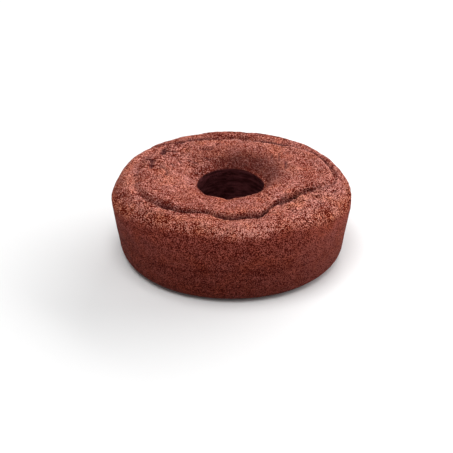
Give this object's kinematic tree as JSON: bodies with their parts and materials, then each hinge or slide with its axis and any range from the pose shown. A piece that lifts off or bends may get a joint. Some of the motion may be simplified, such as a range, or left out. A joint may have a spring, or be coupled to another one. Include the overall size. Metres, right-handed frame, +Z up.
{
  "type": "chocolate ring cake",
  "caption": "Whole chocolate ring cake with smooth tapering sides from a tube tin, an uneven risen crust cracked all round, and a round hole through the middle.",
  "frame": {"origin": "middle of the flat underside, on the hole's axis", "axes": "+Z up out of the risen crust; -Y towards the side that the picture shows at the front; +X to the picture's right"},
  "size_m": [0.2296, 0.2282, 0.0798],
  "materials": {
    "crust": "matte"
  },
  "bodies": {
    "root": {"cake": "crust"}
  },
  "joints": []
}
